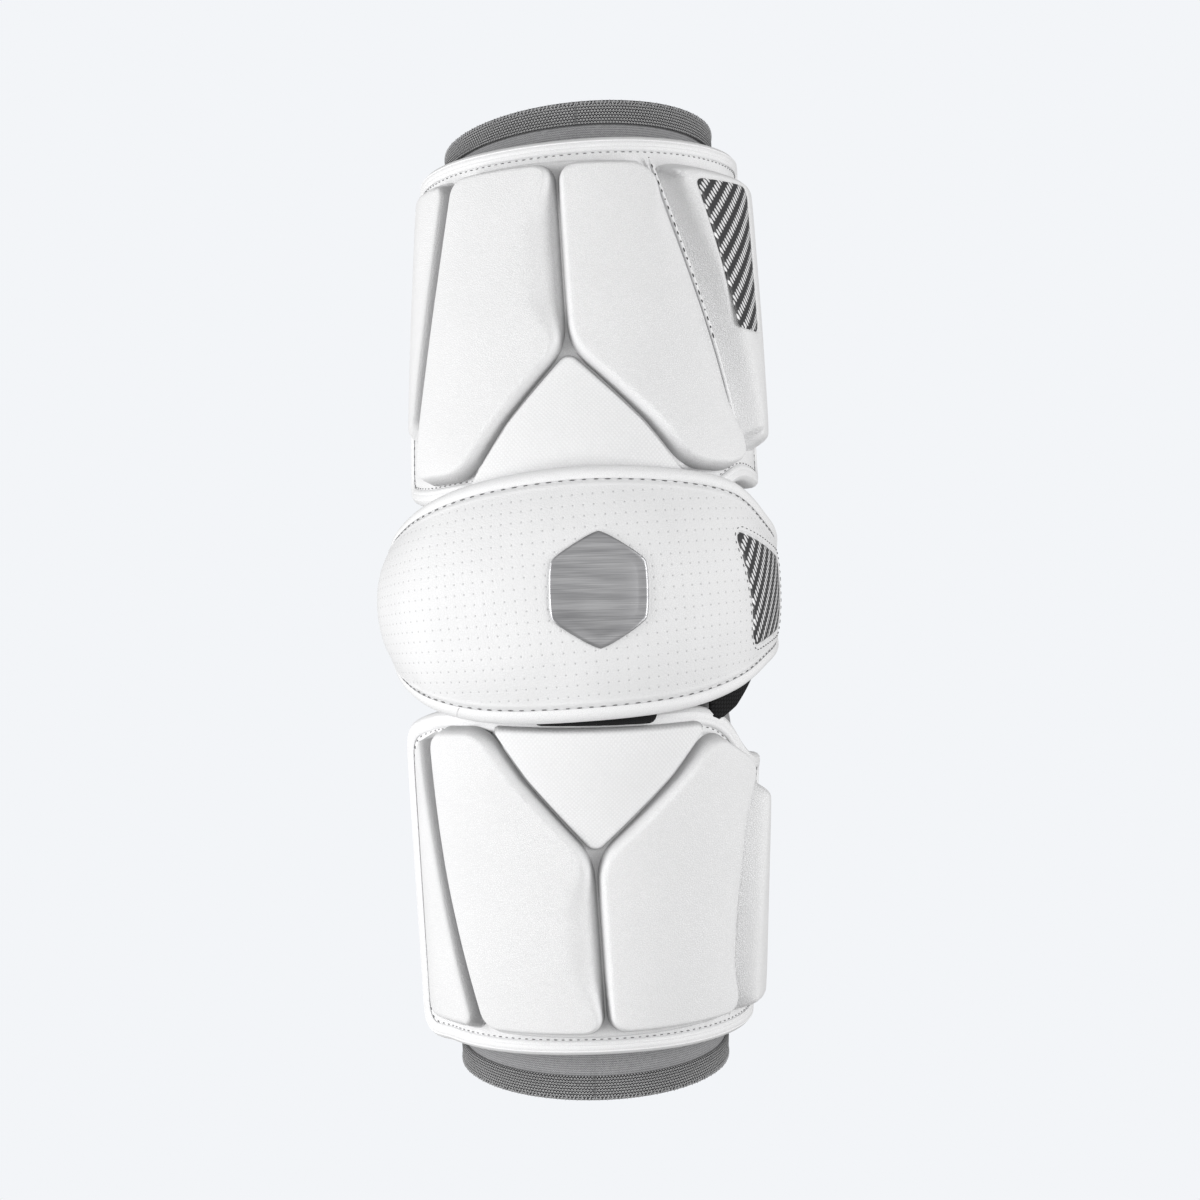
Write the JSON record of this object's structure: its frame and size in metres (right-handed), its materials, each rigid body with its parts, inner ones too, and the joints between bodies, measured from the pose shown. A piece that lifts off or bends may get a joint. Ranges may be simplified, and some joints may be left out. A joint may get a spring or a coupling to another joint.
{
  "type": "lacrosse arm pad",
  "caption": "White padded sleeve for the arm, bent at the elbow, with moulded foam blocks above and below a floating domed elbow cap and elastic cuffs at both ends.",
  "frame": {"origin": "on the arm's axis at the elbow, in the middle of the elbow bend", "axes": "+Z along the arm towards the shoulder end, -Y out of the elbow cap's front, +X to the side that carries the woven patches"},
  "size_m": [0.1522, 0.1516, 0.3753],
  "materials": {
    "white_skin": "smooth satin synthetic skin over moulded foam",
    "white_tape": "smooth folded tape with a stitched edge",
    "perforated_cover": "satin cover with a grid of pin holes",
    "grey_knit": "fine grey stretch knit",
    "grey_elastic": "ribbed elastic",
    "woven_patch": "glossy twill of black and white strands",
    "silver_film": "brushed silver film",
    "black_webbing": "matt black webbing"
  },
  "bodies": {
    "root": {"sleeve": "grey_knit", "top_cuff": "grey_elastic", "bottom_cuff": "grey_elastic", "upper_panel": "white_skin", "lower_panel": "white_skin", "upper_binding": "white_tape", "lower_binding": "white_tape", "cap_binding": "white_tape", "elbow_cap": "perforated_cover", "upper_inlay": "woven_patch", "lower_inlay": "woven_patch", "cap_inlay": "woven_patch", "cap_badge": "silver_film", "hook_patch": "black_webbing", "elbow_strap": "black_webbing", "upper_front_skin": "white_skin", "lower_front_skin": "white_skin", "upper_left_block": "white_skin", "upper_right_block": "white_skin", "upper_wedge": "white_skin", "lower_left_block": "white_skin", "lower_right_block": "white_skin", "lower_wedge": "white_skin", "upper_left_wing": "white_skin", "upper_right_wing": "white_skin", "lower_left_wing": "white_skin", "lower_right_wing": "white_skin"}
  },
  "joints": []
}
